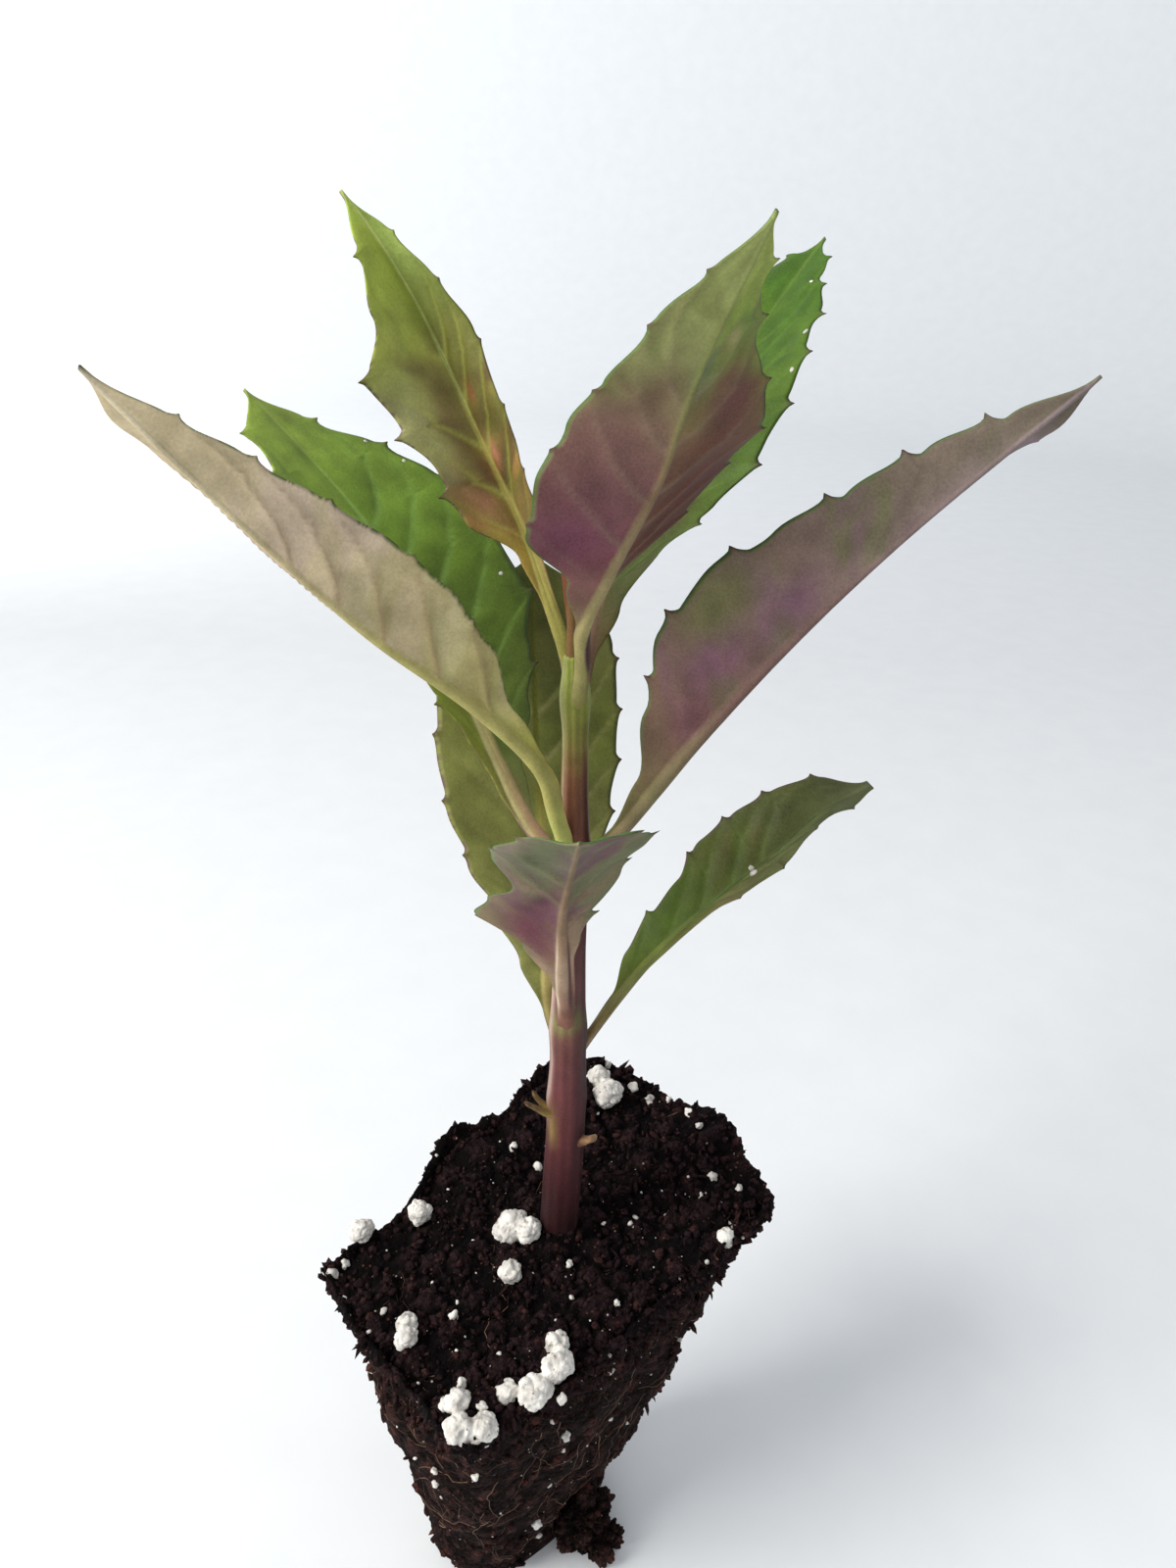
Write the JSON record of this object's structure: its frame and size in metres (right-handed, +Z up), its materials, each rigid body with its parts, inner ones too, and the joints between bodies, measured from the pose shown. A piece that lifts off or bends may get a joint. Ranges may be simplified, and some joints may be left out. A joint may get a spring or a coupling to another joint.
{
  "type": "okinawan spinach plug plant",
  "caption": "Rooted leafy cutting with toothed green and purple leaves, standing in its bare tapering root ball of soil and perlite.",
  "frame": {"origin": "on the flat underside of the root ball, below the middle of the soil surface", "axes": "+Z up, +X along the root ball's long side towards its rougher end, +Y towards the back"},
  "size_m": [0.102, 0.0946, 0.2013],
  "materials": {
    "soil": "matte",
    "perlite": "matte",
    "stem": "satin",
    "leaf_green": "satin",
    "leaf_purple": "satin"
  },
  "bodies": {
    "root": {"root_ball": "soil", "stem": "stem", "leaf_lower_right": "leaf_green", "leaf_lower_back": "leaf_green", "leaf_lower_front": "leaf_purple", "leaf_middle_back": "leaf_green", "leaf_middle_left": "leaf_green", "leaf_middle_right": "leaf_purple", "leaf_upper_left": "leaf_green", "leaf_upper_front": "leaf_purple", "leaf_upper_right": "leaf_green", "shoot_leaf": "leaf_purple", "perlite_by_stem": "perlite", "perlite_middle": "perlite", "perlite_left": "perlite", "perlite_back_left": "perlite", "perlite_left_edge": "perlite", "perlite_back_corner": "perlite", "perlite_front_edge": "perlite", "perlite_front_corner": "perlite", "perlite_right_edge": "perlite"}
  },
  "joints": []
}
